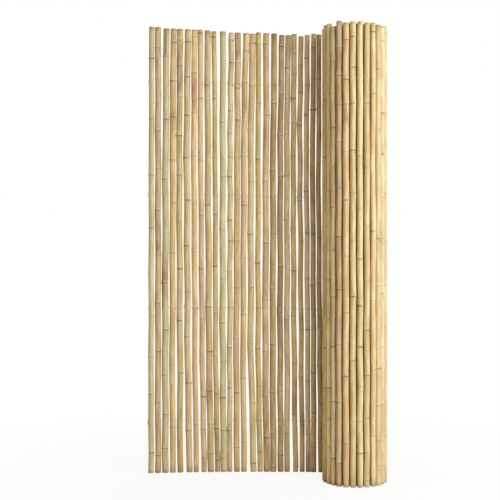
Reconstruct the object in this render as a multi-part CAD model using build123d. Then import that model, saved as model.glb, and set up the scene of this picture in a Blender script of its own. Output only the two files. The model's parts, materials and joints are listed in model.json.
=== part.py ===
from build123d import *
import math
import os

# A natural bamboo fence, 6 ft high and about 8 ft long: whole canes, drilled through at four
# heights and threaded on four galvanised wires. One end is drawn out flat and the rest is still
# rolled up, standing on the cut feet of its canes. All sizes are in millimetres.
# X runs along the open stretch towards the roll, Y away from the front, and Z up.

# The canes
fence_height = 1829
cane_diameter = 25
cane_taper = 0.96  # the thickness of a cane's thin end, as a share of that of its butt
cane_sides = 10  # flats round a cane: few, because there are so many canes
cut_step = 1  # how far out a cane's length is, for each step of the lists below

# The open stretch and the roll
run_gap = 4.2  # between neighbouring canes where the fence lies open
roll_gap = 3.1  # and where it is rolled up
turn_gap = 4  # between one turn of the roll and the next
core_radius = 54.7  # from the roll's middle to its innermost canes
half_turns = 5  # from the core out to the outermost turn
run_bow_radius = 4000
free_end_lift = 19  # the wires hold the free end this far off the ground
hidden_run_canes = 4  # canes of the open stretch that stand behind the roll
second_turn_canes = 23
core_canes = 10

# The wires
wire_count = 4
wire_thickness = 1.8  # the side of a square as large in section as the real wire, 2 mm across
wire_play = 0.7  # between a wire and the wall of a drilled hole
lowest_wire = 214  # above the feet, and as far from the highest wire to the tops
hook_length = 16
hook_play = 0.5

# Each cane of the open stretch, from the free end: thickness as a share of cane_diameter, then how
# far it strays along the wires at its foot, lower bend, upper bend and top, as shares of run_gap,
# how many cut_steps it is longer than fence_height, and where its butt, the thick end, is. Canes
# are laid butt up and butt down, so that the fence is equally wide at both ends.
open_canes = [
    (0.93, -0.6, -0.6, -0.2, 0.2, 1, "down"),
    (1.04, -0.6, -0.6, -0.6, -0.6, 1, "up"),
    (1.10, -0.2, -0.6, 0.0, 0.9, -2, "down"),
    (1.01, 0.2, -0.6, 0.0, 0.9, -1, "up"),
    (1.04, 0.6, 0.0, -0.6, 0.2, -1, "up"),
    (1.08, 2.8, 0.9, -0.2, 1.1, 0, "up"),
    (0.95, 2.4, 1.2, -0.2, 0.7, 0, "up"),
    (0.93, 3.2, 1.2, -0.7, -0.5, 1, "down"),
    (1.10, 3.1, 1.2, -0.2, -0.2, 0, "down"),
    (0.89, 2.8, 0.7, 0.2, -0.9, -2, "down"),
    (1.07, 1.9, 0.7, 0.7, 0.9, -1, "down"),
    (0.92, 0.8, 0.9, 1.3, 2.6, -4, "up"),
    (1.06, 1.2, 0.3, 1.3, 2.0, -3, "up"),
    (1.02, 1.2, 0.3, 0.9, 3.4, -3, "up"),
    (1.09, 3.8, 0.9, 0.9, 2.9, -5, "up"),
    (0.93, 3.5, 1.3, 1.3, 1.8, 2, "down"),
    (1.10, 3.1, 1.6, 2.0, 2.6, 0, "down"),
    (1.07, 2.7, 2.0, 2.6, 3.5, 0, "down"),
    (1.01, 3.1, 2.6, 2.6, 4.4, -5, "down"),
    (0.98, 2.6, 2.6, 2.2, 3.8, -5, "up"),
    (0.94, 4.1, 2.6, 1.7, 2.6, 1, "up"),
    (0.89, 3.8, 2.8, 1.3, 2.6, -7, "up"),
    (0.90, 2.9, 2.4, 0.9, 1.9, -1, "up"),
    (0.92, 1.3, 1.3, 0.3, 1.5, 5, "down"),
    (0.88, 1.6, 0.6, -1.0, -0.2, 3, "down"),
]
# Each cane of the roll's outermost turn, from the back round by the right: thickness, length, butt.
turn_canes = [
    (0.92, 2, "down"), (0.98, -3, "up"), (1.03, 1, "down"), (0.90, 4, "up"),
    (1.00, -2, "down"), (0.95, 0, "up"), (1.04, 3, "down"), (0.88, -4, "up"),
    (0.97, 2, "down"), (0.99, -2, "up"), (1.03, -2, "down"), (0.88, 2, "down"),
    (0.91, 0, "down"), (0.91, 3, "down"), (0.93, 2, "up"), (1.02, 0, "up"),
    (0.99, 9, "up"), (0.90, -9, "up"), (0.87, 8, "down"), (0.95, 7, "down"),
    (1.00, -1, "up"), (0.92, 3, "down"), (1.04, -3, "up"), (0.89, 1, "down"),
    (0.98, -2, "up"),
]

run_canes = len(open_canes) + hidden_run_canes
outer_canes = run_canes + len(turn_canes)
cane_count = outer_canes + second_turn_canes + core_canes
run_pitch = cane_diameter + run_gap
roll_pitch = cane_diameter + roll_gap
run_length = run_canes * run_pitch
roll_start = run_length - run_gap  # the wires start to turn just past the last straight cane
turn_step = (cane_diameter + turn_gap) / 2  # what the radius loses in each half turn
outer_radius = core_radius + half_turns * turn_step
hole_width = wire_thickness + 2 * wire_play
wire_spacing = (fence_height - 2 * lowest_wire) / (wire_count - 1)
wire_heights = [lowest_wire + wire_spacing * level for level in range(wire_count)]
# A ten-sided section is as large as the round one when its corners stand out by this much.
corner_share = math.sqrt(2 * math.pi / (cane_sides * math.sin(2 * math.pi / cane_sides)))
up = Vector(0, 0, 1)


def varied(number, phase):
    """A value from -1 to 1 that differs from cane to cane."""
    return math.sin(2.4 * number + phase) * math.cos(0.7 * number + 2 * phase)


def along(distance):
    """Plan position and heading, in radians, at a distance along the fence from its free end."""
    past = distance - roll_start
    if past < 0:  # the open stretch bows gently and runs on from the back of the roll
        turned = past / run_bow_radius
        back = outer_radius - run_bow_radius
        return run_bow_radius * math.sin(turned), back + run_bow_radius * math.cos(turned), -turned
    # The roll is a spiral of half turns, right and left by turns, each a step tighter.
    turn, radius = 0, outer_radius
    while past > math.pi * radius:
        past -= math.pi * radius
        radius -= turn_step
        turn += 1
    side, middle = (1, 0) if turn % 2 == 0 else (-1, -turn_step)
    angle = past / radius
    x = side * radius * math.sin(angle)
    return x, middle + side * radius * math.cos(angle), -math.pi * turn - angle


def lift(distance):
    """How far a cane's foot is off the ground: the open stretch rises towards its free end."""
    return free_end_lift * max(0, roll_start - distance) / roll_start


class Cane:
    """Where a cane stands, how it bends, how thick it is and which end its butt is."""

    def __init__(self, number):
        in_run = number < run_canes
        pitch = run_pitch if in_run else roll_pitch
        first = 0 if in_run else run_length - run_canes * roll_pitch
        self.place = first + (number + 0.5) * pitch
        butt = "up" if number % 2 else "down"
        share = 1 + 0.08 * varied(number, 1)
        longer = 4 * varied(number, 5)
        bends, strays = [0, 0.5, 1], [0.2 * roll_gap * varied(number, level) for level in range(3)]
        if number < len(open_canes):
            share, *strays, longer, butt = open_canes[number]
            strays = [stray * run_gap for stray in strays]
            bends = [0, 0.26, 0.74, 1]
        elif run_canes <= number < outer_canes:
            share, longer, butt = turn_canes[number - run_canes]
        elif number >= outer_canes:
            bends, strays = [0, 1], [0, 0]
        self.length = fence_height + longer * cut_step
        self.diameter = cane_diameter * share
        self.butt_up = butt == "up"
        self.foot = lift(self.place)
        self.heights = [self.length * bend for bend in bends]
        for level in range(1, len(bends) - 1):
            self.heights[level] *= 1 + 0.1 * varied(number, level + 2)
        self.places = [self.place + stray for stray in strays]

    def axis(self, height):
        """The point on the cane's axis at a height above its foot, and how the fence runs there."""
        level = 1
        while height > self.heights[level]:
            level += 1
        low, high = self.heights[level - 1], self.heights[level]
        below, above = self.places[level - 1], self.places[level]
        x, y, heading = along(below + (above - below) * (height - low) / (high - low))
        slope = -free_end_lift / roll_start if self.foot > 0 else 0
        return Vector(x, y, self.foot + height), Vector(math.cos(heading), math.sin(heading), slope)

    def section(self, height):
        """The cane's outline at a height, with two flats square to the wires."""
        point, _ = self.axis(height)
        from_butt = self.length - height if self.butt_up else height
        thickness = self.diameter * (1 - (1 - cane_taper) * from_butt / self.length)
        turned = math.degrees(along(self.place)[2]) + 180 / cane_sides
        corners = RegularPolygon(corner_share * thickness / 2, cane_sides, rotation=turned)
        return Pos(point) * corners.face()

    def solid(self):
        """The cane itself, bent a little at its joints and drilled along each wire."""
        cane = loft([self.section(height) for height in self.heights], ruled=True)
        bit = Box(2 * self.diameter, hole_width, hole_width)
        holes = []
        for height in wire_heights:
            point, direction = self.axis(height)
            rising = direction.cross(up.cross(direction))
            holes.append(Plane(point, x_dir=direction, z_dir=rising) * bit)
        return cane - holes


def wire_route(canes, height):
    """The corners of a wire: it is straight through each cane and bends between canes."""
    threaded = [cane.axis(height) for cane in canes]
    corners = []
    for (here, ahead), (there, beyond) in zip(threaded, threaded[1:]):
        half = (there - here).length / 2
        corners.append((here + there + (ahead - beyond) * half) / 2)
    ends = []
    for cane, (point, direction), side in zip(
        (canes[0], canes[-1]), (threaded[0], threaded[-1]), (-1, 1)
    ):
        reach = cane.diameter / 2 + hook_play + wire_thickness / 2
        ends.append(point + direction * side * reach)
    first, last = ends
    # At both ends the wire is bent down against the last cane, so that no cane slides off.
    return [first - up * hook_length, first, *corners, last, last - up * hook_length]


def bar(points, width):
    """A square bar along a line of points, mitred at each corner."""
    steps = [(after - before).normalized() for before, after in zip(points, points[1:])]
    start = Plane(points[0], x_dir=steps[1], z_dir=steps[0])
    corners = [Vector(*vertex) for vertex in (start * Rectangle(width, width)).vertices()]
    middle = points[0]
    corners.sort(key=lambda c: (c - middle).get_signed_angle(start.x_dir, start.z_dir))
    sections = [corners]
    for point, step, following in zip(points[1:], steps, steps[1:] + steps[-1:]):
        mitre = step + following
        corners = [c + step * ((point - c).dot(mitre) / step.dot(mitre)) for c in corners]
        sections.append(corners)
    return loft([Face(Wire.make_polygon(section)) for section in sections], ruled=True)


canes = [Cane(number) for number in range(cane_count)]
pieces = {}
for number, cane in enumerate(canes[:outer_canes]):
    if number < run_canes:
        pieces[f"run_cane_{number + 1:02d}"] = cane.solid()
    else:
        pieces[f"outer_turn_cane_{number - run_canes + 1:02d}"] = cane.solid()
second_turn_end = outer_canes + second_turn_canes
# The canes inside the roll share two files, each as a group of separate canes.
for name, group in (
    ("second_turn_canes", canes[outer_canes:second_turn_end]),
    ("core_canes", canes[second_turn_end:]),
):
    pieces[name] = Compound([cane.solid() for cane in group])
for level, height in enumerate(wire_heights):
    pieces[f"wire_{level + 1}"] = bar(wire_route(canes, height), wire_thickness)

# The origin is on the ground, in the middle of the whole fence.
whole = Compound(list(pieces.values())).bounding_box()
to_origin = Pos(-whole.center().X, -whole.center().Y, -whole.min.Z)
os.makedirs("parts", exist_ok=True)
for name, piece in pieces.items():
    export_step(to_origin * piece, f"parts/{name}.step")
print(len(pieces), "parts of", cane_count, "canes, size", whole.size)
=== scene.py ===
# %% [markdown]
# # A rolled bamboo fence
# The real fence is whole bamboo canes, sawn to one length, drilled at four heights and threaded on
# galvanised wires. One end is drawn out flat and the rest still stands rolled up. The frame gives
# every cane's place, lean and thickness as a plain ten-sided bar. This script dresses each bar as a
# real culm: round, ringed at its joints, hollow at the sawn ends and drilled where the wires pass.

# %% The frame
import json
import math
import random

import bmesh
import bpy
from mathutils import Matrix, Vector


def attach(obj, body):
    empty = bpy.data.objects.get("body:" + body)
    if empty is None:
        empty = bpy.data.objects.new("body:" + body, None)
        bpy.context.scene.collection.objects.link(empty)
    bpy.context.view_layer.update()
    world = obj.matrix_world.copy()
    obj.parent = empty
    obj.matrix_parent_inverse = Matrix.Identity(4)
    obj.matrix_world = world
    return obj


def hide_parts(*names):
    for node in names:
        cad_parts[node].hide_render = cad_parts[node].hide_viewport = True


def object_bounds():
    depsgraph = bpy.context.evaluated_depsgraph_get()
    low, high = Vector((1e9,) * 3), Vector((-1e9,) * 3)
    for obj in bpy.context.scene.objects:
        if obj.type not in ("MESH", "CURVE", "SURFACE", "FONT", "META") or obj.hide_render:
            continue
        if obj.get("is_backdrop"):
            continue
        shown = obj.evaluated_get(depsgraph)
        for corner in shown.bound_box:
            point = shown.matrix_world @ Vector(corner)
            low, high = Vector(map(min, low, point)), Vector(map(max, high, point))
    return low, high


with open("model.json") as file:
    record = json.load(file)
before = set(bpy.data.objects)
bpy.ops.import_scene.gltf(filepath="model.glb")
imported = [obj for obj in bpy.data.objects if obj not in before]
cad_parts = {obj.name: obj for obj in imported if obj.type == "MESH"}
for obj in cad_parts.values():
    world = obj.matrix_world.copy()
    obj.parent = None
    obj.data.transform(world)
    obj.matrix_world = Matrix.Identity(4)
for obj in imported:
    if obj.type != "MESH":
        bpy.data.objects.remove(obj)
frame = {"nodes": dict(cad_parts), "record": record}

MM = 0.001
UP = Vector((0, 0, 1))
cad_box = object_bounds()
slot_of = {entry["node"]: entry["material_slot"] for entry in frame["record"]["subparts"]}
print("frame:", len(frame["nodes"]), "nodes in", len(set(slot_of.values())), "finishes")

# %% [markdown]
# ## Where each cane stands
# A cane could be placed by hand from the photograph, but it would then drift from the solid that it
# stands for. Instead its line is read from the frame. Welding a node's mesh and walking along its
# edges separates the canes that share one node, and wherever ten corners lie at one height, they are
# an outline of the cane: their middle is a point of its axis and their distance its radius.

# %% Reading the canes
CANE_SIDES = 10
WELD = MM / 1000  # corners nearer to each other than this are one
# The frame's ten-sided canes have the area of the round ones, so their corners stand further out.
CORNER_SHARE = math.sqrt(2 * math.pi / (CANE_SIDES * math.sin(2 * math.pi / CANE_SIDES)))


def separate_solids(node):
    """The corner points of each solid in a node of the frame."""
    mesh = bmesh.new()
    mesh.from_mesh(frame["nodes"][node].data)
    bmesh.ops.remove_doubles(mesh, verts=mesh.verts, dist=WELD)
    seen, solids = set(), []
    for first in mesh.verts:
        if first in seen:
            continue
        seen.add(first)
        waiting, points = [first], []
        while waiting:
            vert = waiting.pop()
            points.append(vert.co.copy())
            for edge in vert.link_edges:
                other = edge.other_vert(vert)
                if other not in seen:
                    seen.add(other)
                    waiting.append(other)
        solids.append(points)
    mesh.free()
    return solids


def outlines(points):
    """A cane's axis points and radii, from its foot up, wherever the frame gives a whole outline."""
    levels = {}
    for point in points:
        levels.setdefault(round(point.z / MM, 1), []).append(point)
    found = []
    for level in sorted(levels):
        ring = levels[level]
        if len(ring) == CANE_SIDES:
            middle = sum(ring, Vector()) / CANE_SIDES
            found.append((middle, (ring[0] - middle).length / CORNER_SHARE))
    return found


class Cane:
    """One cane of the frame, with its axis, its radius and the way that the wires run through it."""

    def __init__(self, name, node, points):
        self.name, self.node, self.outlines = name, node, outlines(points)
        self.foot, self.top = self.outlines[0][0].z, self.outlines[-1][0].z
        self.length = self.top - self.foot
        self.heading = Vector((1, 0, 0))

    def at(self, z):
        """The axis point and radius at a height."""
        z = min(max(z, self.foot), self.top)
        for (low, thick), (high, thin) in zip(self.outlines, self.outlines[1:]):
            if z <= high.z:
                break
        share = (z - low.z) / (high.z - low.z)
        return low.lerp(high, share), thick + (thin - thick) * share


def numbered(prefix, node_prefix):
    """The canes that have a node each, in order along the fence."""
    nodes = sorted(name for name in frame["nodes"] if name.startswith(node_prefix))
    return [
        Cane(f"{prefix}_{number:02d}", node, separate_solids(node)[0])
        for number, node in enumerate(nodes, 1)
    ]


run = numbered("run_culm", "run_cane")
turn = numbered("turn_culm", "outer_turn_cane")
print("canes with a node each:", len(run), "in the open run,", len(turn), "round the roll")

# %% [markdown]
# ## The canes inside the roll
# These share two nodes, so their order along the wires has to be found. The nearest cane isn't always
# the next one, because the turns of a roll lie as close to each other as the canes do. So a guess
# goes one step on, turned as much as the last step was, and the cane nearest to that guess is next.

# %% Ordering the inner canes
def next_along(threaded, loose):
    """The loose cane that the wires reach next."""
    a, b, c = (cane.at(cane.foot)[0].xy for cane in threaded[-3:])
    clockwise = (b - a).angle_signed(c - b)
    guess = c + Matrix.Rotation(-clockwise, 2) @ (c - b)
    return min(loose, key=lambda cane: (cane.at(cane.foot)[0].xy - guess).length)


def thread(threaded, prefix, node):
    """Adds the canes of a shared node to the threaded ones, in order, and names them."""
    loose = [Cane("", node, points) for points in separate_solids(node)]
    inner = []
    while loose:
        found = next_along(threaded, loose)
        loose.remove(found)
        inner.append(found)
        threaded.append(found)
        found.name = f"{prefix}_{len(inner):02d}"
    return inner


canes = run + turn
second_turn = thread(canes, "second_turn_culm", "second_turn_canes")
core = thread(canes, "core_culm", "core_canes")
rolled = canes[len(run):]
steps = [(b.at(b.foot)[0].xy - a.at(a.foot)[0].xy).length / MM for a, b in zip(rolled, rolled[1:])]
print(f"threaded {len(canes)} canes, {min(steps):.1f} to {max(steps):.1f} mm apart in the roll")

for number, cane in enumerate(canes):
    before, after = canes[max(number - 1, 0)], canes[min(number + 1, len(canes) - 1)]
    middle = (cane.foot + cane.top) / 2
    along = after.at(middle)[0] - before.at(middle)[0]
    cane.heading = Vector((along.x, along.y, 0)).normalized()

# %% [markdown]
# ## Where the joints are
# A bamboo culm is divided by solid joints. The photograph shows those of the open run and of the
# roll's front, so they are put where it has them: the row of a joint in the picture, and the camera's
# place, give its height. The other culms are hidden, and their joints follow how bamboo grows. They
# are close together at the butt, the thick end that grew at the ground, and further apart towards the
# tip. The gap grows by a steady share from joint to joint, so one joint and one factor give the rest.
# Fence makers lay canes butt up and butt down so that both ends of a panel stay equally wide, and the
# frame tells which is which by its taper.

# %% Rows of the photograph
PHOTO_SIZE = 500
FOCAL_PIXELS = 980  # the lens's focal length, in pixels of the photograph
HORIZON_ROW = 245.9  # the row that shows what stands as high as the camera
# The camera's place in metres: in front of the fence's middle, above the floor, and to the left.
CAMERA_FAR, CAMERA_HIGH, CAMERA_LEFT = 3.985, 0.95, 0.0684


def height_of_row(cane, row):
    """The height of a point on a cane's front that the photograph shows in a row."""
    axis, radius = cane.at(CAMERA_HIGH)
    return CAMERA_HIGH - (row - HORIZON_ROW) * (CAMERA_FAR + axis.y - radius) / FOCAL_PIXELS


# The rows of the joints of each culm that the photograph shows, from its top down.
joint_rows = {
    "run_culm_01": (58, 118.5, 175, 227.5, 273.5, 316, 357, 394, 424, 453),
    "run_culm_02": (47.5, 96, 130.5, 169, 210.5, 254.5, 303, 351.5, 402.5, 455.5),
    "run_culm_03": (56, 119, 179, 232.5, 282.5, 330, 375, 414.5, 448.5),
    "run_culm_04": (42, 80.5, 116.5, 160, 202.5, 252.5, 307.5, 365, 427.5),
    "run_culm_05": (40, 65.5, 97, 135.5, 175, 221, 268.5, 320.5, 373, 427.5),
    "run_culm_06": (41.5, 76.5, 115, 157.5, 200, 245.5, 292, 336.5, 383, 430.5),
    "run_culm_07": (36.5, 73, 112, 155.5, 203, 252, 308, 367, 424.5),
    "run_culm_08": (33, 98, 160, 215, 268.5, 318.5, 360.5, 396.5, 429.5, 458),
    "run_culm_09": (84.5, 145.5, 204.5, 258, 307, 351.5, 391, 424, 453.5),
    "run_culm_10": (37, 98, 157.5, 214, 266, 313, 355.5, 393.5, 428.5, 460),
    "run_culm_11": (63.5, 122, 176.5, 229, 278.5, 323, 362, 397.5, 430.5, 458),
    "run_culm_12": (40, 62.5, 85, 110.5, 133, 157, 176.5, 193.5, 220, 241, 271.5, 307, 347.5, 388, 430.5),
    "run_culm_13": (38, 62.5, 88, 120, 156.5, 198.5, 241, 287.5, 338.5, 393, 447.5),
    "run_culm_14": (51, 82, 116.5, 156, 205, 258, 314.5, 378, 442),
    "run_culm_15": (43, 85.5, 131, 182, 234, 287.5, 343.5, 403, 463.5),
    "run_culm_16": (44, 103, 159, 212.5, 263, 308, 348.5, 386, 420, 452),
    "run_culm_17": (44, 115, 181, 243, 299.5, 351.5, 396, 437.5),
    "run_culm_18": (103.5, 171, 233.5, 288.5, 344.5, 392.5, 433.5, 467),
    "run_culm_19": (46.5, 93.5, 135.5, 176.5, 220, 267, 312, 351, 391, 426, 455),
    "run_culm_20": (67.5, 98.5, 133.5, 175.5, 219.5, 268.5, 319.5, 374, 433.5),
    "run_culm_21": (53, 74, 98.5, 123, 155.5, 190, 229.5, 270.5, 315.5, 363, 414, 466),
    "run_culm_22": (64.5, 92, 125, 160, 200.5, 241, 285, 330, 376.5, 425),
    "run_culm_23": (58, 84, 115, 151, 191, 233, 278.5, 329.5, 381, 434),
    "run_culm_24": (46.5, 109.5, 173.5, 233.5, 285, 329.5, 372.5, 412.5, 447.5),
    "turn_culm_11": (68.5, 129, 187, 238.5, 286, 328.5, 368.5, 405.5, 440.5, 469.5),
    "turn_culm_12": (31.5, 93, 159.5, 231, 300.5, 369.5, 436),
    "turn_culm_13": (38, 103, 166.5, 225.5, 280.5, 330, 375.5, 418, 452.5, 480.5),
    "turn_culm_14": (41.5, 97.5, 155.5, 208, 259, 305.5, 347, 386, 421.5, 453.5),
    "turn_culm_15": (36, 67, 103, 150, 193, 240, 296.5, 360.5, 421.5),
    "turn_culm_16": (39.5, 79, 104, 151.5, 200, 256, 312.5, 376.5, 443.5),
    "turn_culm_17": (47.5, 75, 104, 141.5, 188, 236.5, 289.5, 344.5, 402.5, 463.5),
    "turn_culm_18": (30.5, 61, 93, 127.5, 166, 207, 249.5, 296.5, 346.5, 401.5, 458.5),
    "turn_culm_19": (30, 89, 140, 190.5, 238, 280, 319, 354.5, 388, 419, 447),
    "turn_culm_20": (38.5, 99.5, 157, 208.5, 259.5, 305.5, 348, 388, 425, 459),
}
print("joints in the photograph:", sum(map(len, joint_rows.values())), "on", len(joint_rows), "culms")

# %% Joint heights
BUTT_SPACING = 130 * MM
SPACING_GROWTH = 0.07
END_CLEAR = 3 * MM  # no joint lies closer to a sawn end
HIDDEN_JOINT = (0.8, 1.05)  # every hidden culm has a joint somewhere between these heights, in metres
HIDDEN_GROWTH = (0.9, 1.15)

# One joint's height in millimetres and the growth factor, for the culm that the roll half hides.
read_joints = {"run_culm_25": (1650, 1.0)}


def butt_is_up(cane):
    """Whether a cane's thick end is its top."""
    return cane.outlines[-1][1] > cane.outlines[0][1]


def known_joint(cane, chance):
    """A height of one joint of a cane, and its growth factor."""
    if cane.name in read_joints:
        height, growth = read_joints[cane.name]
        return height * MM, growth
    return chance.uniform(*HIDDEN_JOINT), chance.uniform(*HIDDEN_GROWTH)


def grown_joints(cane, chance):
    """The heights of a cane's joints as bamboo spaces them, out from the known one both ways."""
    height, growth = known_joint(cane, chance)
    butt, towards_tip = (cane.top, -1) if butt_is_up(cane) else (cane.foot, 1)
    ratio = math.exp(SPACING_GROWTH * growth)
    found = set()
    for towards in (ratio, 1 / ratio):
        reach = abs(height - butt)
        while END_CLEAR < reach < cane.length - END_CLEAR:
            found.add(butt + towards_tip * reach)
            reach = (towards * (BUTT_SPACING + SPACING_GROWTH * reach) - BUTT_SPACING) / SPACING_GROWTH
    return sorted(found)


def joint_heights(cane, chance):
    """The heights of all of a cane's joints, from its foot up."""
    if cane.name not in joint_rows:
        return grown_joints(cane, chance)
    heights = sorted(height_of_row(cane, row) for row in joint_rows[cane.name])
    return [z for z in heights if cane.foot + END_CLEAR < z < cane.top - END_CLEAR]


for number, cane in enumerate(canes):
    cane.joints = joint_heights(cane, random.Random(number))
counts = [len(cane.joints) for cane in canes]
print("joints on a cane:", min(counts), "to", max(counts), "and", sum(counts), "in all")

# %% [markdown]
# ## Crookedness
# A living culm turns a little at each joint, one way and then the other, so a cane is never quite
# straight. The frame holds only its main bends. Random kinks alone would push canes into each other
# where they stand close, so each kink is held to its share of the gap that the neighbour leaves.

# %% Kinks at the joints
LARGEST_KINK, LEAST_SHARE = 2.2 * MM, 0.3
GAP_SHARE = 0.45  # of a gap: less than half, because the neighbour may kink towards it
RING_ROOM = 0.3 * MM  # kept free for the rings
END_ROOM = 0.3 * MM  # for the first and last cane, on the side that has no neighbour
KINK_SEED, LOOK_SEED = 200, 100  # culm 0's seeds, and one more for each culm after it


def room_beside(number, side, z):
    """How far a culm may move towards its neighbour, at a height."""
    other = number + side
    if not 0 <= other < len(canes):
        return END_ROOM
    (here, radius), (there, other_radius) = canes[number].at(z), canes[other].at(z)
    gap = (there - here).length - radius - other_radius
    return max(gap * GAP_SHARE - RING_ROOM, 0)


for number, cane in enumerate(canes):
    chance = random.Random(KINK_SEED + number)
    side = chance.choice((-1, 1))
    cane.kinks = [0]
    for joint in cane.joints:
        side = -side
        wanted = chance.uniform(LEAST_SHARE, 1) * LARGEST_KINK
        cane.kinks.append(side * min(wanted, room_beside(number, side, joint)))
    cane.kinks.append(0)
kinks = [abs(kink) / MM for cane in canes for kink in cane.kinks[1:-1]]
print(f"kinks at the joints: {sum(kinks) / len(kinks):.1f} mm on average, {max(kinks):.1f} at most")

# %% [markdown]
# ## The four wires' heights
# The drilled holes belong to the cane, but their heights are the wires'. The frame's wires are bent
# at each cane, so the height is read where a wire is nearest to the first cane that stands level.

# %% Wire heights
WIRE_NODES = sorted(name for name in frame["nodes"] if name.startswith("wire"))
CORNERS = 8  # an upper and a lower corner of the square wire, each of which the frame has four times


def height_above_foot(node):
    """How far above a cane's foot a wire passes, read beside the roll, where the feet are level."""
    level = next(cane for cane in turn if cane.foot < MM / 10)
    axis = level.at(level.foot)[0].xy
    corners = sorted(frame["nodes"][node].data.vertices, key=lambda v: (v.co.xy - axis).length)
    return sum(vert.co.z for vert in corners[:CORNERS]) / CORNERS - level.foot


wire_heights = [height_above_foot(node) for node in WIRE_NODES]
print("wires above the feet, mm:", [round(height / MM) for height in wire_heights])

# %% [markdown]
# ## The form of a culm
# Between joints a culm is nearly a straight tube, a little waisted. At a joint it has two low rings
# with a groove between them: the lower one is the scar where a leaf sheath sat, the upper one is the
# joint itself. A screw or subdivision modifier would make it evenly smooth, which bamboo isn't. Here
# rings of points are laid where the form changes, close at the joints and wide apart between them.

# %% The joint's profile
# Height above the groove in millimetres, swelling as a share of the radius, how dark the groove's
# line is, and how much pale wax lies there.
JOINT_PROFILE = [
    (-26, 0.000, 0.00, 0.0), (-12, 0.006, 0.06, 0.1), (-6, 0.018, 0.16, 0.2), (-3, 0.036, 0.36, 0.1),
    (-1.6, 0.044, 0.60, 0.0), (-0.6, 0.020, 1.00, 0.0), (0.8, 0.004, 1.00, 0.0), (2.0, 0.020, 0.60, 0.0),
    (3.4, 0.042, 0.16, 0.4), (5.2, 0.048, 0.05, 0.6), (7.5, 0.032, 0.00, 0.3), (12, 0.012, 0.00, 0.1),
    (24, 0.000, 0.00, 0.0),
]
WAIST = 0.980  # a culm between its joints, as a share of the frame's radius


def blended(profile, height):
    """The profile's values at a height, straight between its points and nothing beyond them."""
    if not profile[0][0] < height < profile[-1][0]:
        return [0.0] * (len(profile[0]) - 1)
    for low, high in zip(profile, profile[1:]):
        if height <= high[0]:
            share = (height - low[0]) / (high[0] - low[0])
            return [a + (b - a) * share for a, b in zip(low[1:], high[1:])]


def form_at(cane, z):
    """A culm's axis, radius, dark line and wax at a height."""
    axis, radius = cane.at(z)
    nearest = min(cane.joints, key=lambda joint: abs(joint - z))
    swell, line, wax = blended(JOINT_PROFILE, (z - nearest) / MM)
    below = sum(1 for joint in cane.joints if joint < z)
    ends = [cane.foot] + cane.joints + [cane.top]
    share = (z - ends[below]) / (ends[below + 1] - ends[below])
    sway = cane.kinks[below] + (cane.kinks[below + 1] - cane.kinks[below]) * share
    return axis + cane.heading * sway, radius * (WAIST + swell), line, wax


widest = WAIST + max(entry[1] for entry in JOINT_PROFILE)
print(f"a culm is {WAIST} of its solid's radius between joints, and {widest:.3f} at a ring")

# %% Rows of points
INTERNODE_ROWS = 4
CLOSEST_ROWS = 0.4 * MM
HOLE_ROOM = 3 * MM  # from a drilled hole's middle to the rows above and below it
HOLE_CLEAR = 1.2 * HOLE_ROOM  # no other row lies closer to a drilled hole
SAWN_EDGE = 0.6 * MM


def row_heights(cane):
    """The heights of a culm's rings of points, with three evenly spaced at each drilled hole."""
    wanted = {cane.foot + SAWN_EDGE, cane.top - SAWN_EDGE}
    for joint in cane.joints:
        wanted.update(joint + entry[0] * MM for entry in JOINT_PROFILE)
    ends = [cane.foot] + cane.joints + [cane.top]
    for low, high in zip(ends, ends[1:]):
        step = (high - low) / (INTERNODE_ROWS + 1)
        wanted.update(low + step * (row + 1) for row in range(INTERNODE_ROWS))
    drilled = [cane.foot + height for height in wire_heights]
    inside = [z for z in wanted if cane.foot + SAWN_EDGE <= z <= cane.top - SAWN_EDGE]
    clear = sorted(z for z in inside if min(abs(z - hole) for hole in drilled) > HOLE_CLEAR)
    spaced = clear[:1]
    for z in clear[1:]:
        if z - spaced[-1] > CLOSEST_ROWS:
            spaced.append(z)
    for hole in drilled:
        spaced += [hole - HOLE_ROOM, hole, hole + HOLE_ROOM]
    return sorted(spaced)


print("rings of points on the first culm:", len(row_heights(canes[0])))

# %% [markdown]
# ## What a culm's mesh remembers
# On bamboo the colour follows the form: a ring has its dark line, the stretch above it its pale wax,
# a cut its bare wood. An image could say where each of them is, but every cane would need its own.
# So each point of a culm's mesh keeps a few numbers, called marks here and attributes in Blender,
# and one material reads them on all the culms.

# %% A mesh with marks
# The line mark holds the joints' dark lines, and the painted shade in drilled holes and bores.
MARKS = ("line", "wax", "sawn", "blush", "shade", "tone", "mottle", "stain")


class Shell:
    """A culm's mesh as it grows: points with their marks, and faces."""

    def __init__(self):
        self.points, self.faces = [], []
        self.marks = {name: [] for name in MARKS}

    def add(self, point, **marks):
        """A point, with the marks that the finish reads there."""
        self.points.append(point)
        for name in MARKS:
            self.marks[name].append(marks.get(name, 0.0))
        return len(self.points) - 1

    def band(self, lower, upper):
        """Joins two closed rings of points with one face a side."""
        count = len(lower)
        for here in range(count):
            after = (here + 1) % count
            self.faces.append((lower[here], lower[after], upper[after], upper[here]))

    def lid(self, ring, middle):
        """Closes a ring of points towards one in its middle."""
        for here in range(len(ring)):
            self.faces.append((ring[here], ring[(here + 1) % len(ring)], middle))


print("marks on each point:", ", ".join(MARKS))
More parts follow.
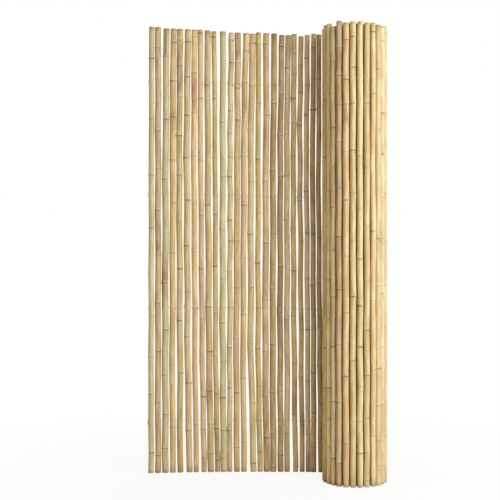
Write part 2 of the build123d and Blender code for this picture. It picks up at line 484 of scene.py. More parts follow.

# %% [markdown]
# ## What sets one culm apart
# No two culms of a fence have dried alike. Chance alone would make them differ, but not in the way of
# the photographed ones. So the shades, the browned stretches and the cracks that can be seen in the
# photograph were read from it, and only the rest is left to chance, each culm with its own seed,
# which comes out the same each time.
# Some of those shades are painted light: culms in the roll's shade are made paler, to lift it.

# %% Read from the photograph
# Culms that the photograph shows paler, above 0, or darker than others of their finish.
# In the roll's shade, run_culm_21, 23, 24 and turn_culm_19, 20 are paler partly by painted light.
SHADES_AND_PAINTED_LIGHT = {
    "run_culm_02": -0.4, "run_culm_03": -1, "run_culm_05": -0.6, "run_culm_09": -1,
    "run_culm_13": -1, "run_culm_14": -0.4, "run_culm_16": 1, "run_culm_18": -0.6,
    "run_culm_21": 2, "run_culm_23": 2.5, "run_culm_24": 2, "turn_culm_11": -1,
    "turn_culm_12": 1.6, "turn_culm_16": 0.4, "turn_culm_17": -1, "turn_culm_19": 2.5,
    "turn_culm_20": 2,
}
# Stretches that the photograph shows browned: the culm and the rows that the brown is between.
STAINS = [
    ("run_culm_02", 205, 256), ("run_culm_02", 455, 482), ("run_culm_03", 256, 300),
    ("run_culm_04", 108, 132), ("run_culm_05", 40, 98), ("run_culm_07", 75, 112),
    ("run_culm_09", 378, 411), ("run_culm_10", 430, 482), ("run_culm_13", 28, 60),
    ("run_culm_14", 82, 130), ("run_culm_17", 114, 146), ("run_culm_17", 383, 468),
    ("run_culm_18", 112, 168), ("run_culm_19", 178, 235), ("run_culm_19", 264, 330),
    ("run_culm_20", 38, 68), ("run_culm_21", 376, 420), ("run_culm_22", 312, 336),
    ("run_culm_22", 405, 442), ("run_culm_23", 445, 482), ("turn_culm_16", 92, 131),
    ("turn_culm_17", 45, 115), ("turn_culm_20", 462, 492),
]
# Dark cracks read from the photograph: the culm, from and to which height in millimetres, and the
# side in degrees, where 0 is the way that the wires run and 270 is the front.
SCARS = [("run_culm_03", 690, 880, 210), ("run_culm_03", 1735, 1840, 255)]
print("browned stretches:", len(STAINS), "and shaded culms:", len(SHADES_AND_PAINTED_LIGHT))

# %% Left to chance
LEAST_OVAL, MOST_OVAL = 0.002, 0.006  # how far a culm's section is from round
BLUSH_POWER, MOTTLE_POWER = 3, 2  # a high power makes strong ones rare
SHADE_SPREAD = 0.5
FAINTEST_RING = 0.3


class Look:
    """A culm's section, shade, stretches' tones, buds and rings."""

    def __init__(self, cane, chance):
        self.oval = chance.uniform(LEAST_OVAL, MOST_OVAL)
        self.shade = chance.uniform(-SHADE_SPREAD, SHADE_SPREAD) + SHADES_AND_PAINTED_LIGHT.get(cane.name, 0)
        self.blushes = [chance.random() ** BLUSH_POWER for _ in range(len(cane.joints) + 1)]
        self.tones = [chance.uniform(-1, 1) for _ in range(len(cane.joints) + 1)]
        self.sun_side = chance.uniform(0, 2 * math.pi)
        self.bud_side = chance.uniform(0, 360)
        self.ring_strength = [chance.uniform(FAINTEST_RING, 1) for _ in cane.joints]
        self.ring_side = [chance.uniform(0, 2 * math.pi) for _ in cane.joints]
        self.mottled = [chance.random() ** MOTTLE_POWER for _ in cane.joints]


print(f"sections are {LEAST_OVAL:.1%} to {MOST_OVAL:.1%} out of round")

# %% [markdown]
# ## Buds, cracks and stains
# A bud is a small raised eye above a joint, on the side where a branch would have grown. A crack runs
# up a culm that dried too fast, and a stain browns a whole stretch of it. Each is worked out as a
# share from 0 to 1 at any height, so that the mesh can rise with it and the finish can darken by it.

# %% Shares at a height
BUD_RISE, BUD_TALL = 9 * MM, 5 * MM
BUD_WIDE, SCAR_WIDE = 20, 20  # half their widths, in degrees round the culm
STAIN_FADE = 30 * MM


def bud_share(cane, look, z, angle):
    """How much of a bud lies at a height and angle: buds sit above the joints, on alternate sides."""
    share = 0.0
    for number, joint in enumerate(cane.joints):
        rise = abs(z - joint - BUD_RISE) / BUD_TALL
        if rise < 1:
            side = look.bud_side + 180 * (number % 2)
            away = abs((angle - side + 180) % 360 - 180) / BUD_WIDE
            share = max(share, (1 - rise) * max(0, 1 - away))
    return share


def scar_share(cane, z, angle):
    """How much of a dark crack lies at a height and angle."""
    share = 0.0
    for name, low, high, side in SCARS:
        if name == cane.name and low * MM < z < high * MM:
            share = max(share, 1 - abs((angle - side + 180) % 360 - 180) / SCAR_WIDE)
    return share


def stain_share(cane, z):
    """How much of a browned stretch lies at a height."""
    share = 0.0
    for name, upper_row, lower_row in STAINS:
        if name == cane.name:
            inside = min(height_of_row(cane, upper_row) - z, z - height_of_row(cane, lower_row))
            share = max(share, min(inside / STAIN_FADE, 1))
    return share


print("a browned stretch fades over", round(STAIN_FADE / MM), "mm at both ends")

# %% [markdown]
# ## The skin of a culm
# The skin is laid ring by ring, from the foot up. A screw modifier would turn an even outline, which
# would then have to be pushed out of round. Here a ring is already oval where it is made, rises at a
# bud and darkens unevenly, because a joint's line is rarely as strong all the way round.

# %% A ring of points
BUD_HEIGHT, BUD_DARK = 0.05, 0.7  # a bud's height as a share of the radius, and how dark it is
OVAL_TURN = 1  # radians: the long side stands half as far round from the way that the wires run
RING_FADING = 0.35  # how much of a ring's line comes and goes on its way round
FURTHEST_OUT = 1.028  # as a share of the frame's radius, so that no ring stands out of its solid
MOTTLE_REACH = 45 * MM  # spots lie this far above and below a joint
DAMP_FOOT, DAMP_BLUSH = 90 * MM, 0.35  # feet that stood on damp ground are browner
WORN_END, WORN_END_DARK = 7 * MM, 0.45


def add_ring(shell, cane, look, z, columns, missing=()):
    """A ring of points round a culm at a height, counted from the way that the wires run."""
    axis, radius, line, wax = form_at(cane, z)
    full = cane.at(z)[1]
    across = UP.cross(cane.heading)
    stretch = sum(1 for joint in cane.joints if joint < z)
    near = min(range(len(cane.joints)), key=lambda n: abs(cane.joints[n] - z))
    mottle = look.mottled[near] * max(0, 1 - abs(z - cane.joints[near]) / MOTTLE_REACH)
    damp = max(0, 1 - (z - cane.foot) / DAMP_FOOT)
    worn = WORN_END_DARK * max(0, 1 - min(z - cane.foot, cane.top - z) / WORN_END)
    stain = stain_share(cane, z)
    ring = []
    for column in range(columns):
        if column in missing:
            ring.append(None)
            continue
        turned = 360 * column / columns
        bud = bud_share(cane, look, z, turned)
        angle = math.radians(turned)
        reach = radius * (1 + look.oval * math.cos(2 * angle + OVAL_TURN) + BUD_HEIGHT * bud)
        reach = min(reach, FURTHEST_OUT * full)
        point = axis + (cane.heading * math.cos(angle) + across * math.sin(angle)) * reach
        faded = 1 - RING_FADING + RING_FADING * math.cos(angle - look.ring_side[near])
        dark = line * look.ring_strength[near] * faded
        ring.append(shell.add(
            point, line=max(dark, BUD_DARK * bud, worn, scar_share(cane, z, turned)), wax=wax,
            blush=min(look.blushes[stretch] + DAMP_BLUSH * damp, 1), shade=look.shade, mottle=mottle,
            tone=(look.tones[stretch] + math.cos(angle - look.sun_side)) / 2, stain=stain,
        ))
    return ring


print("no point stands further out than", FURTHEST_OUT, "of its solid's radius")

# %% [markdown]
# ## Sawn ends and drilled holes
# A culm is hollow between its joints, so a sawn end is a ring of wood about 3 mm thick round a dark
# bore that stops at the next joint. A boolean could cut the bores and the holes, but it leaves long
# thin faces. The mesh is built with them instead: the wall folds over the rim and down the bore, and
# at a wire four faces give way to a small round hole, joined through the cane to the one opposite.

# %% Drilled holes
# How darkly a drilled hole's rim and its tunnel through the cane are marked: painted shade.
HOLE_RADIUS, HOLE_PAINTED_SHADE = 1.6 * MM, 0.3
RIM_POINTS = 8


def hole_rim(shell, cane, wire_z, side):
    """Eight points round a drilled hole in a culm's skin, centred on the wire."""
    axis, radius, _, _ = form_at(cane, wire_z)
    drilled = cane.at(wire_z)[0]
    across = UP.cross(cane.heading) * side
    off_centre = (axis - drilled).dot(cane.heading)
    rim = []
    for step in range(RIM_POINTS):
        angle = 2 * math.pi * (step - 3) / RIM_POINTS
        sideways, rise = HOLE_RADIUS * math.cos(angle), HOLE_RADIUS * math.sin(angle)
        reach = off_centre + side * math.sqrt(radius**2 - sideways**2)
        point = drilled + cane.heading * reach + across * sideways + UP * rise
        # The rim, and the tunnel that joins it to the one opposite, are darkened: painted shade.
        rim.append(shell.add(point, sawn=1.0, line=HOLE_PAINTED_SHADE))
    return rim


def drill(shell, cane, grid, row, wire_z, columns):
    """A hole from side to side: a rim in each skin, and eight faces joining the two."""
    rims = []
    for side, middle in ((1, 0), (-1, columns // 2)):
        left, right = (middle - 1) % columns, (middle + 1) % columns
        below, level, above = grid[row - 1], grid[row], grid[row + 1]
        square = [
            below[left], below[middle], below[right], level[right],
            above[right], above[middle], above[left], level[left],
        ]
        rim = hole_rim(shell, cane, wire_z, side)
        shell.band(square, rim)
        rims.append(rim)
    shell.band(rims[0], [rims[1][(2 - step) % RIM_POINTS] for step in range(RIM_POINTS)])


print(f"holes drilled {2 * HOLE_RADIUS / MM:.1f} mm wide")

# %% Sawn ends
CULM_WALL_SHARE = 0.27  # of the radius: about 3 mm
SHALLOWEST_BORE, DEEPEST_BORE = 4 * MM, 90 * MM
JOINT_WALL = 2 * MM  # half of the solid wall at a joint
RIM_ROUND, BORE_ROUND = 0.97, 0.02  # shares of the radius: where the flat sawn face starts and ends
# A bore's narrowing at its bottom, and how darkly the bottom's middle is marked: painted shade.
BORE_TAPER, BORE_PAINTED_SHADE = 0.98, 0.6


def saw_end(shell, cane, skin, end_z, inward, depth):
    """A sawn end: a rim of bare wood, and a bore that stops at a joint."""
    columns = len(skin)
    axis, radius, _, _ = form_at(cane, end_z)
    across = UP.cross(cane.heading)

    def ring(share, z):
        middle = Vector((axis.x, axis.y, z))
        points = []
        for column in range(columns):
            angle = 2 * math.pi * column / columns
            out = cane.heading * math.cos(angle) + across * math.sin(angle)
            points.append(shell.add(middle + out * radius * share, sawn=1.0))
        return points

    bore = 1 - CULM_WALL_SHARE
    steps_in = [
        (RIM_ROUND, 0), (bore + BORE_ROUND, 0), (bore, SAWN_EDGE),
        (bore, depth / 2), (bore * BORE_TAPER, depth),
    ]
    rings = [skin] + [ring(share, end_z + inward * deep) for share, deep in steps_in]
    for outer, inner in zip(rings, rings[1:]):
        shell.band(outer, inner)
    # The bore's bottom darkens towards its middle: painted shade.
    middle = Vector((axis.x, axis.y, end_z + inward * (depth + MM)))
    shell.lid(rings[-1], shell.add(middle, sawn=1.0, line=BORE_PAINTED_SHADE))


def bore_depth(gap):
    """How deep a sawn end is open, for a gap from that end to the nearest joint."""
    return min(max(gap - JOINT_WALL, SHALLOWEST_BORE), DEEPEST_BORE)


depths = [bore_depth(cane.top - cane.joints[-1]) / MM for cane in canes]
print(f"bores at the top are {min(depths):.0f} to {max(depths):.0f} mm deep")

# %% A whole culm
OUTER_COLUMNS, INNER_COLUMNS = 24, 16


def culm_shell(cane, look, columns):
    """The whole mesh of one culm."""
    shell = Shell()
    heights = row_heights(cane)
    drilled = {heights.index(cane.foot + height): cane.foot + height for height in wire_heights}
    middles = (0, columns // 2)
    grid = [
        add_ring(shell, cane, look, z, columns, middles if row in drilled else ())
        for row, z in enumerate(heights)
    ]
    for lower, upper in zip(grid, grid[1:]):
        for column in range(columns):
            after = (column + 1) % columns
            corners = (lower[column], lower[after], upper[after], upper[column])
            if None not in corners:
                shell.faces.append(corners)
    for row, wire_z in drilled.items():
        drill(shell, cane, grid, row, wire_z, columns)
    first, last = cane.joints[0] - cane.foot, cane.top - cane.joints[-1]
    saw_end(shell, cane, grid[0], cane.foot, 1, bore_depth(first))
    saw_end(shell, cane, grid[-1], cane.top, -1, bore_depth(last))
    return shell


print("columns of faces round a culm:", OUTER_COLUMNS, "in sight,", INNER_COLUMNS, "inside the roll")

# %% [markdown]
# ## Stubs of side branches
# A side branch grows from a bud at a joint. When the culm is trimmed its branches are cut off short,
# and some leave a dark stub that stands out into the gap. Their places were read from the photograph.
# Each is a short tapered peg, rooted in the culm's wall and leaning up as the branch did.

# %% Branch stubs
# The culm, the height in millimetres, and the side: 0 is the way the wires run, 270 is the front.
STUBS = [
    ("run_culm_03", 797, 190), ("run_culm_05", 1404, 185), ("run_culm_06", 383, 5),
    ("run_culm_06", 702, 180), ("run_culm_07", 689, 355), ("run_culm_12", 1618, 350),
    ("run_culm_14", 1617, 180), ("run_culm_24", 1522, 0), ("run_culm_24", 1520, 180),
    ("run_culm_09", 903, 200), ("run_culm_19", 1242, 10), ("turn_culm_19", 1577, 200),
    ("turn_culm_11", 62, 230), ("turn_culm_12", 202, 250),
]
STUB_ROOT, STUB_TIP, STUB_SIDES = 2.4 * MM, 1.7 * MM, 10
STUB_OUT, STUB_SUNK, STUB_LEAN = 2.6 * MM, 3 * MM, 35
STUB_WOOD, CUT_DARK = 0.2, 1.0


def add_stub(shell, cane, z, side):
    """One cut-off branch."""
    axis, radius, _, _ = form_at(cane, z)
    across = UP.cross(cane.heading)
    angle = math.radians(side)
    out = cane.heading * math.cos(angle) + across * math.sin(angle)
    lean = math.radians(STUB_LEAN)
    grown = out * math.cos(lean) + UP * math.sin(lean)
    flat, tall = UP.cross(out), grown.cross(UP.cross(out))
    rings = []
    # How far from the axis, how thick and how dark, from the root to the cut.
    for reach, thick, line in (
        (radius - STUB_SUNK, STUB_ROOT, 0.5),
        (radius + STUB_OUT * 0.6, (STUB_ROOT + STUB_TIP) / 2, 0.6),
        (radius + STUB_OUT, STUB_TIP, 0.9),
    ):
        middle = axis + out * reach + UP * (reach - radius) * math.tan(lean)
        rings.append([
            shell.add(middle + (flat * math.cos(a) + tall * math.sin(a)) * thick, line=line, sawn=STUB_WOOD)
            for a in (2 * math.pi * step / STUB_SIDES for step in range(STUB_SIDES))
        ])
    for lower, upper in zip(rings, rings[1:]):
        shell.band(lower, upper)
    for ring in (rings[0], rings[-1]):
        middle = sum((shell.points[point] for point in ring), Vector()) / STUB_SIDES
        shell.lid(ring, shell.add(middle, line=CUT_DARK))


print("branch stubs:", len(STUBS))

# %% [markdown]
# ## The finish: dried bamboo
# Fence bamboo is sun-dried and left bare. Its skin is smooth and hard, with a soft sheen, and long
# fibres run up it under the surface. Green fades to straw, honey or a rosy tan, never evenly: it
# changes from one joint to the next. An image could hold all that, but only for one cane. Here noise
# is stretched along the culm for the fibres, a broader noise shifts the tone, and marks stored in the
# mesh say where the rings, the wax and the sawn wood are.

# %% Colour and nodes
def linear(hex_colour):
    """A colour as Blender counts it, from its sRGB hex value."""
    parts = [int(hex_colour[place:place + 2], 16) / 255 for place in (1, 3, 5)]
    return tuple(c / 12.92 if c <= 0.04045 else ((c + 0.055) / 1.055) ** 2.4 for c in parts) + (1.0,)


def add(tree, kind, inputs=None, **settings):
    """Adds one node. An input is a value, or the socket that feeds it."""
    made = tree.nodes.new(kind)
    for name, value in settings.items():
        setattr(made, name, value)
    for name, value in (inputs or {}).items():
        if isinstance(value, bpy.types.NodeSocket):
            tree.links.new(value, made.inputs[name])
        else:
            made.inputs[name].default_value = value
    return made


def new_material(name):
    """A material with only its output node."""
    material = bpy.data.materials.new(name)
    material.use_nodes = True
    material.node_tree.nodes.clear()
    return material, material.node_tree


print("middle grey, as Blender counts it:", round(linear("#808080")[0], 3))

# %% Patterns
FIBRE_WIDTH, FIBRE_LENGTH = 1.4 * MM, 110 * MM  # real fibres are finer: as drawn they still show
PATCH_WIDTH, PATCH_LENGTH = 14 * MM, 80 * MM
SPECKLE = 3 * MM


def stretched_noise(tree, place, width, length, detail):
    """Noise drawn out along the culm, which stands along Z."""
    size = (1 / width, 1 / width, 1 / length)
    scaled = add(tree, "ShaderNodeMapping", {"Vector": place, "Scale": size}).outputs[0]
    noise = {"Vector": scaled, "Scale": 1.0, "Detail": detail}
    return add(tree, "ShaderNodeTexNoise", noise).outputs[0]


print(f"fibres {FIBRE_WIDTH / MM:.1f} mm wide, speckles {SPECKLE / MM:.0f} mm")

# %% Dried bamboo
# The ring brown, up to LINE_SHARE, darkens joint lines and paints the shade in holes and bores.
BARE_WOOD, RING_AND_PAINTED_SHADE_BROWN, WAX = "#D9BE88", "#50371A", "#F0E6C6"
SPECKLE_BROWN, STAIN_BROWN = "#8C6A35", "#A88054"
TONE_SHIFT = 0.16  # how far a stretch's own tone moves the patches towards light or deep
WAX_SHARE, LINE_SHARE = 0.5, 0.84  # how much of the skin the thickest wax and the darkest line hide
FIBRE_RELIEF = 0.15 * MM
# The sockets of a node that mixes colours, and the inputs of one that spreads a range of values.
FACTOR, FIRST, SECOND, BLENDED = 0, 6, 7, 2
SPREAD = ("Value", "From Min", "From Max", "To Min", "To Max")


def dried_bamboo(name, light, deep, blush):
    """One tone of bare dried bamboo: layers of colour, each where a mark or a noise puts it."""
    material, tree = new_material(name)
    mark = {
        kind: add(tree, "ShaderNodeAttribute", attribute_name=kind).outputs["Fac"] for kind in MARKS
    }
    place = add(tree, "ShaderNodeTexCoord").outputs["Object"]
    fibres = stretched_noise(tree, place, FIBRE_WIDTH, FIBRE_LENGTH, 3.0)
    patches = stretched_noise(tree, place, PATCH_WIDTH, PATCH_LENGTH, 2.0)
    speckles = stretched_noise(tree, place, SPECKLE, SPECKLE, 2.0)
    shift = {0: mark["tone"], 1: TONE_SHIFT, 2: patches}
    toned = add(tree, "ShaderNodeMath", shift, operation="MULTIPLY_ADD").outputs[0]

    # What is spread, between which of its values, and to which new ones. A noise keeps near 0.5.
    ranges = {
        "deep": (toned, 0.36, 0.64, 0.0, 0.85), "blush": (patches, 0.35, 0.6, 0.0, 1.0),
        "streaks": (fibres, 0.35, 0.7, 1.08, 0.88), "shade": (mark["shade"], -1.5, 2.25, 0.8, 1.3),
        "stain": (patches, 0.38, 0.62, 0.2, 0.72), "mottle": (speckles, 0.5, 0.66, 0.0, 1.0),
        "grain": (speckles, 0.4, 0.6, 0.75, 1.0), "roughness": (fibres, 0.3, 0.7, 0.38, 0.55),
    }
    spread = {
        kind: add(tree, "ShaderNodeMapRange", dict(zip(SPREAD, values))).outputs[0]
        for kind, values in ranges.items()
    }
    # How strongly a mark shows: as much as a noise lets it, or by a fixed share.
    strengths = {kind: spread[kind] for kind in ("blush", "stain", "mottle")}
    strengths.update(wax=WAX_SHARE, line=LINE_SHARE)
    shown = {
        kind: add(tree, "ShaderNodeMath", {0: mark[kind], 1: strength}, operation="MULTIPLY").outputs[0]
        for kind, strength in strengths.items()
    }

    grained = {FACTOR: 1.0, FIRST: linear(BARE_WOOD), SECOND: spread["grain"]}
    wood = add(tree, "ShaderNodeMix", grained, data_type="RGBA", blend_type="MULTIPLY").outputs[BLENDED]
    layers = [
        ("MIX", spread["deep"], linear(deep)), ("MIX", shown["blush"], linear(blush)),
        # A culm's shade: its own paleness, and painted light on the culms in the roll's shade.
        ("MULTIPLY", 1.0, spread["streaks"]), ("MULTIPLY", 1.0, spread["shade"]),
        ("MIX", shown["stain"], linear(STAIN_BROWN)), ("MIX", shown["mottle"], linear(SPECKLE_BROWN)),
        ("MIX", shown["wax"], linear(WAX)), ("MIX", mark["sawn"], wood),
        # The line mark's brown: dark joint lines, and painted shade in holes and bores.
        ("MIX", shown["line"], linear(RING_AND_PAINTED_SHADE_BROWN)),
    ]
    colour = linear(light)
    for blend, share, over in layers:
        laid = {FACTOR: share, FIRST: colour, SECOND: over}
        colour = add(tree, "ShaderNodeMix", laid, data_type="RGBA", blend_type=blend).outputs[BLENDED]

    relief = {"Strength": 0.35, "Distance": FIBRE_RELIEF, "Height": fibres}
    skin = add(tree, "ShaderNodeBsdfPrincipled", {
        "Base Color": colour, "Roughness": spread["roughness"], "IOR": 1.5, "Specular IOR Level": 0.3,
        "Normal": add(tree, "ShaderNodeBump", relief).outputs[0],
    })
    add(tree, "ShaderNodeOutputMaterial", {"Surface": skin.outputs[0]})
    return material


# Each tone's light, deep and blush colours.
TONES = {
    "green_bamboo": ("#DED2A3", "#C2B67C", "#D6BE8E"),
    "straw_bamboo": ("#E1CE9E", "#C8AF74", "#D2B28A"),
    "pale_bamboo": ("#E8D9AB", "#D0BB84", "#DEC49C"),
    "honey_bamboo": ("#E4CC9A", "#C9AA6C", "#D3B086"),
    "olive_bamboo": ("#D6C288", "#B29B5A", "#C9AA70"),
    "rosy_bamboo": ("#DFC294", "#C0A070", "#C8A282"),
    "brown_bamboo": ("#CEB27E", "#AC8C58", "#B0926C"),
}
finish = {name: dried_bamboo(name, *hexes) for name, hexes in TONES.items()}
print("bamboo tones:", ", ".join(finish))

# %% [markdown]
# ## Making the culms
# Every culm goes through the same functions, with its own seeded chance, so the fence is uneven in
# the way of a natural thing and comes out the same each time. Those inside the roll are seen only
# from above and through the gaps, so they have fewer columns of faces.

# %% Culms
SHARP_ANGLE = math.radians(45)


def finished_piece(name, shell, material):
    """An object made from a shell, with its marks, smooth but for its sawn edges."""
    mesh = bpy.data.meshes.new(name)
    mesh.from_pydata(shell.points, [], shell.faces)
    for kind in MARKS:
        mesh.attributes.new(kind, "FLOAT", "POINT").data.foreach_set("value", shell.marks[kind])
    work = bmesh.new()
    work.from_mesh(mesh)
    bmesh.ops.recalc_face_normals(work, faces=work.faces)
    work.to_mesh(mesh)
    work.free()
    mesh.polygons.foreach_set("use_smooth", [True] * len(mesh.polygons))
    mesh.set_sharp_from_angle(angle=SHARP_ANGLE)
    mesh.materials.append(material)
    piece = bpy.data.objects.new(name, mesh)
    bpy.context.scene.collection.objects.link(piece)
    return piece


def triangles(piece):
    """How many triangles a mesh piece has."""
    return sum(len(face.vertices) - 2 for face in piece.data.polygons)


inner_names = {cane.name for cane in second_turn + core}
total = 0
for number, cane in enumerate(canes):
    columns = INNER_COLUMNS if cane.name in inner_names else OUTER_COLUMNS
    look = Look(cane, random.Random(LOOK_SEED + number))
    shell = culm_shell(cane, look, columns)
    for name, height, side in STUBS:
        if name == cane.name:
            add_stub(shell, cane, height * MM, side)
    slot = slot_of[cane.node]
    piece = finished_piece(cane.name, shell, finish[slot])
    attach(piece, "root")
    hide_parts(cane.node)
    total += triangles(piece)
print(f"{len(canes)} culms of {total} triangles")

# %% [markdown]
# ## The wires
# Galvanised steel wire, just under 2 mm across, runs through every cane and is bent down at both
# ends so that the last cane can't slide off. It is straight inside a cane, which holds it, and turns
# in the gap between two. A curve with a round bevel gives that in a few points, and is then made a
# mesh.

# %% Wire
WIRE_RADIUS, WIRE_BEVEL = 0.9 * MM, 3
HOOK_PLAY, HOOK_DROP, HOOK_BEND = 0.5 * MM, 16 * MM, 2.5 * MM
HOOK_STEPS = 5
HELD_SHARE = 0.9  # of a cane's radius, to both sides of its axis: there the wire is straight


def hook(cane, height, side):
    """The bent end of a wire, from the cane's skin outwards and down."""
    axis, radius = cane.at(cane.foot + height)
    out = cane.heading * side
    reach = radius + HOOK_PLAY + WIRE_RADIUS
    centre = axis + out * (reach - HOOK_BEND) - UP * HOOK_BEND
    bend = []
    for step in range(HOOK_STEPS + 1):
        angle = math.pi / 2 * step / HOOK_STEPS
        bend.append(centre + (out * math.sin(angle) + UP * math.cos(angle)) * HOOK_BEND)
    return bend + [axis + out * reach - UP * HOOK_DROP]


def wire_route(height):
    """The points that a wire follows, from the free end to the core of the roll."""
    points = hook(canes[0], height, -1)[::-1]
    for cane in canes:
        axis, radius = cane.at(cane.foot + height)
        held = cane.heading * radius * HELD_SHARE
        points += [axis - held, axis + held]
    return points + hook(canes[-1], height, 1)


print("points along a wire:", len(wire_route(wire_heights[0])))

# %% [markdown]
# ## The finish: galvanised steel
# Galvanised wire is steel drawn through molten zinc. The zinc sets in small flat crystals, each of
# which catches the light at its own angle, and the air dulls it to a soft grey. A noise would give
# cloudy patches. The cells of a Voronoi pattern are flat and have edges, as the crystals do.

# %% Galvanised steel
ZINC_GREY = "#C4C7C8"
ZINC_CRYSTAL, CRYSTAL_SHARE = 1.5 * MM, 0.25


def galvanised_wire():
    """Zinc-coated steel: grey, dulled by air, with a faint crystal pattern in the zinc."""
    material, tree = new_material("galvanised_wire")
    place = add(tree, "ShaderNodeTexCoord").outputs["Object"]
    pattern = add(tree, "ShaderNodeTexVoronoi", {"Vector": place, "Scale": 1 / ZINC_CRYSTAL})
    crystals = pattern.outputs["Color"]
    flecked = {FACTOR: CRYSTAL_SHARE, FIRST: linear(ZINC_GREY), SECOND: crystals}
    zinc = add(tree, "ShaderNodeMix", flecked, data_type="RGBA", blend_type="MULTIPLY").outputs[BLENDED]
    dulled = dict(zip(SPREAD, (crystals, 0.0, 1.0, 0.35, 0.6)))
    roughness = add(tree, "ShaderNodeMapRange", dulled).outputs[0]
    surface = {"Base Color": zinc, "Metallic": 1.0, "Roughness": roughness}
    metal = add(tree, "ShaderNodeBsdfPrincipled", surface)
    add(tree, "ShaderNodeOutputMaterial", {"Surface": metal.outputs[0]})
    return material


zinc_finish = galvanised_wire()
print(f"zinc crystals {ZINC_CRYSTAL / MM} mm across")

# %% Drawing the wires
for number, (node, height) in enumerate(zip(WIRE_NODES, wire_heights), 1):
    curve = bpy.data.curves.new(f"threading_wire_{number}", "CURVE")
    curve.dimensions, curve.bevel_depth, curve.bevel_resolution = "3D", WIRE_RADIUS, WIRE_BEVEL
    curve.use_fill_caps = True
    route = wire_route(height)
    spline = curve.splines.new("POLY")
    spline.points.add(len(route) - 1)
    for point, place in zip(spline.points, route):
        point.co = (*place, 1)
    drawn = bpy.data.objects.new(curve.name, curve)
    bpy.context.scene.collection.objects.link(drawn)
    mesh = bpy.data.meshes.new_from_object(drawn)
    bpy.data.objects.remove(drawn)
    mesh.polygons.foreach_set("use_smooth", [True] * len(mesh.polygons))
    mesh.materials.clear()
    mesh.materials.append(zinc_finish)
    piece = bpy.data.objects.new(f"threading_wire_{number}", mesh)
    bpy.context.scene.collection.objects.link(piece)
    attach(piece, "root")
    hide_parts(node)
    total += triangles(piece)
print(f"with the wires, {total} triangles")

# %% [markdown]
# ## Floor and background
# The photograph has the fence cut out on white. A white floor that was only lit would need so much
# light that the pale canes washed out. So for the camera the floor is mostly white of its own, and a
# little of it is ordinary paint that still takes the fence's shadow.

# %% Floor
FLOOR_HALF = 12.0
FLOOR_PAINT = "#F2F2F2"
NEAR, FAR = 0.5, 1.8  # from the fence's middle: the floor's shading fades out between the two
OWN_WHITE_NEAR, OWN_WHITE_FAR = 0.9, 1.0


def white_floor():
    """White paint in the light, mostly plain white to the camera, and wholly so far away."""
    material, tree = new_material("white_floor")
    ray = add(tree, "ShaderNodeLightPath")
    place = add(tree, "ShaderNodeTexCoord").outputs["Object"]
    away = add(tree, "ShaderNodeVectorMath", {0: place}, operation="LENGTH").outputs["Value"]
    fading = dict(zip(SPREAD, (away, NEAR, FAR, OWN_WHITE_NEAR, OWN_WHITE_FAR)))
    own = add(tree, "ShaderNodeMapRange", fading).outputs[0]
    own_seen = {0: ray.outputs["Is Camera Ray"], 1: own}
    share = add(tree, "ShaderNodeMath", own_seen, operation="MULTIPLY").outputs[0]
    paint = add(tree, "ShaderNodeBsdfDiffuse", {"Color": linear(FLOOR_PAINT)}).outputs[0]
    white = add(tree, "ShaderNodeEmission", {"Color": (1, 1, 1, 1), "Strength": 1.0}).outputs[0]
    both = add(tree, "ShaderNodeMixShader", {0: share, 1: paint, 2: white}).outputs[0]
    add(tree, "ShaderNodeOutputMaterial", {"Surface": both})
    return material


floor_mesh = bpy.data.meshes.new("floor")
corners = [(FLOOR_HALF * x, FLOOR_HALF * y, 0) for x, y in ((-1, -1), (1, -1), (1, 1), (-1, 1))]
floor_mesh.from_pydata(corners, [], [(0, 1, 2, 3)])
floor_mesh.materials.append(white_floor())
floor = bpy.data.objects.new("floor", floor_mesh)
bpy.context.scene.collection.objects.link(floor)
floor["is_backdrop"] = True
print("floor:", 2 * FLOOR_HALF, "m square")

# %% [markdown]
# ## Light
# In the photograph the right side of each cane is bright, the left side is darker, and the roll
# throws a soft shade on the canes just left of it. One large soft lamp at the front right does that.
# A weaker one behind, on the same side, lights the canes' right edges and the fence's back. The world
# adds a plain even light, so that the gaps between canes stay brown and not black.

# %% Lamps
LAMP_FAR, LAMP_HIGH, LAMP_SIZE = 3.6, 1.7, 2.2
# Each lamp's angle from the front towards the right, and its share of the light that shows a colour
# as it is written.
LAMPS = {"key": (42, 0.77), "rim": (150, 0.4)}
lit_middle = Vector((0, 0, (cad_box[0].z + cad_box[1].z) / 2))


def soft_lamp(name, angle, share):
    """A large square lamp that stands round the fence and shines at its middle."""
    lamp = bpy.data.lights.new(name, "AREA")
    lamp.shape, lamp.size = "SQUARE", LAMP_SIZE
    # So many watts make a white surface that faces the lamp shine with that share of full white.
    lamp.energy = share * math.pi**2 * LAMP_FAR**2
    holder = bpy.data.objects.new(name, lamp)
    bpy.context.scene.collection.objects.link(holder)
    turned = math.radians(angle)
    holder.location = (LAMP_FAR * math.sin(turned), -LAMP_FAR * math.cos(turned), LAMP_HIGH)
    holder.rotation_euler = (lit_middle - holder.location).to_track_quat("-Z", "Y").to_euler()


for name, (angle, share) in LAMPS.items():
    soft_lamp(name, angle, share)
print("lamps:", ", ".join(LAMPS))

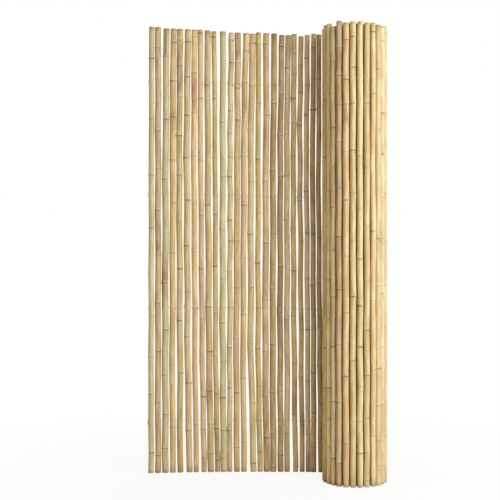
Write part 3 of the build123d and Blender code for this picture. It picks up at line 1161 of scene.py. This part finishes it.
# %% The world
AMBIENT, AMBIENT_TINT = 0.40, "#FFF8EA"
world = bpy.data.worlds.new("white_room")
bpy.context.scene.world = world
world.use_nodes = True
sky = world.node_tree
sky.nodes.clear()
ray = add(sky, "ShaderNodeLightPath")
seen = ray.outputs["Is Camera Ray"]  # and where the room shows in a gloss or through a glass
for kind in ("Is Glossy Ray", "Is Transmission Ray"):
    seen = add(sky, "ShaderNodeMath", {0: seen, 1: ray.outputs[kind]}, operation="MAXIMUM").outputs[0]
shining = dict(zip(SPREAD, (seen, 0, 1, AMBIENT, 1.0)))
strength = add(sky, "ShaderNodeMapRange", shining).outputs[0]
whitened = {FACTOR: seen, FIRST: linear(AMBIENT_TINT), SECOND: (1, 1, 1, 1)}
tint = add(sky, "ShaderNodeMix", whitened, data_type="RGBA", blend_type="MIX").outputs[BLENDED]
even = add(sky, "ShaderNodeBackground", {"Color": tint, "Strength": strength})
add(sky, "ShaderNodeOutputWorld", {"Surface": even.outputs[0]})
print("the world lights at", AMBIENT, "and shows as white")

# %% [markdown]
# ## Camera
# The photograph was taken level, from about the fence's mid height and four metres away: the roll
# shows both its front feet below its back ones and no cut end on top. Those facts give the camera's
# place, and the width of the fence in the picture gives the lens.

# %% Camera
SENSOR = 36
lens = bpy.data.cameras.new("camera")
lens.sensor_width = SENSOR
lens.lens = FOCAL_PIXELS / PHOTO_SIZE * SENSOR
lens.shift_y = (HORIZON_ROW - PHOTO_SIZE / 2) / PHOTO_SIZE
camera = bpy.data.objects.new("camera", lens)
bpy.context.scene.collection.objects.link(camera)
camera.location = (-CAMERA_LEFT, -CAMERA_FAR, CAMERA_HIGH)
camera.rotation_euler = (math.pi / 2, 0, 0)
bpy.context.scene.camera = camera
bpy.context.scene.view_settings.view_transform = "Standard"
print("camera", CAMERA_FAR, "m away,", CAMERA_HIGH, "m up, with a", round(lens.lens, 1), "mm lens")

# %% [markdown]
# ## Sizes
# The dressed fence has to stay in the box of the solids that it stands for, so both boxes are kept.

# %% Both boxes
visual_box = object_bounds()
over = [max(c - v, 0) for c, v in zip(cad_box[0], visual_box[0])]
over += [max(v - c, 0) for c, v in zip(cad_box[1], visual_box[1])]
print("furthest out of the solids' box, mm:", round(max(over) / MM, 3))
